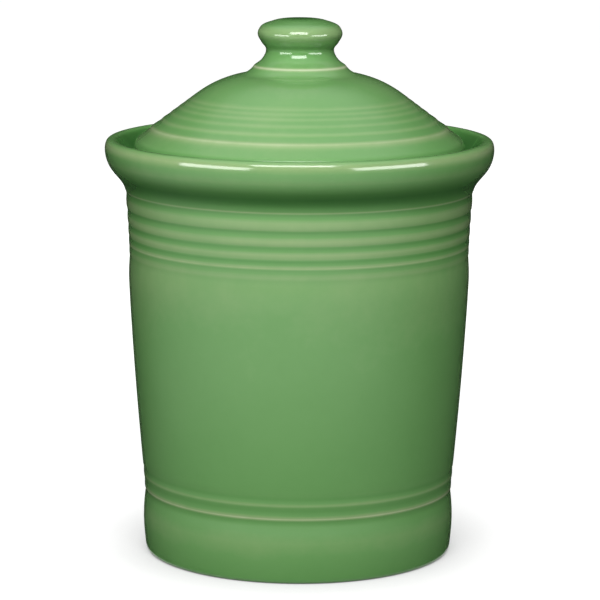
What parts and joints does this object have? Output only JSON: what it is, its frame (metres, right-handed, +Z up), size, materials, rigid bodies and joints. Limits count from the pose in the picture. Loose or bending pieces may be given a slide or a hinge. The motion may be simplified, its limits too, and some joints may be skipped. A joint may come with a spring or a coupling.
{
  "type": "lidded canister",
  "caption": "Round lidded kitchen canister of glossy green glazed stoneware, with stepped rings, a rolled rim and a domed lid with a mushroom knob that lifts off.",
  "frame": {"origin": "centre of the foot ring, on the surface that the canister stands on", "axes": "+Z up along the canister's own axis, towards the knob; the canister is round, so X and Y are free"},
  "size_m": [0.1778, 0.1776, 0.2457],
  "materials": {
    "jar_glaze": "glossy meadow-green glaze, paler where it runs thin over edges",
    "lid_glaze": "glossy meadow-green glaze, paler where it runs thin over edges",
    "seal_silicone": "satin translucent white silicone"
  },
  "bodies": {
    "jar": {"canister_body": "jar_glaze"},
    "seal": {"lid_gasket": "seal_silicone"},
    "lid": {"lid": "lid_glaze"}
  },
  "joints": [
    {"name": "lid_lift", "type": "slide", "parent": "jar", "child": "seal", "axis": [0, 0, 1], "range_m": [0, 0.08]},
    {"name": "lid_turn", "type": "hinge", "parent": "seal", "child": "lid", "pos_m": [0, 0, 0.18], "axis": [0, 0, 1], "continuous": true}
  ]
}
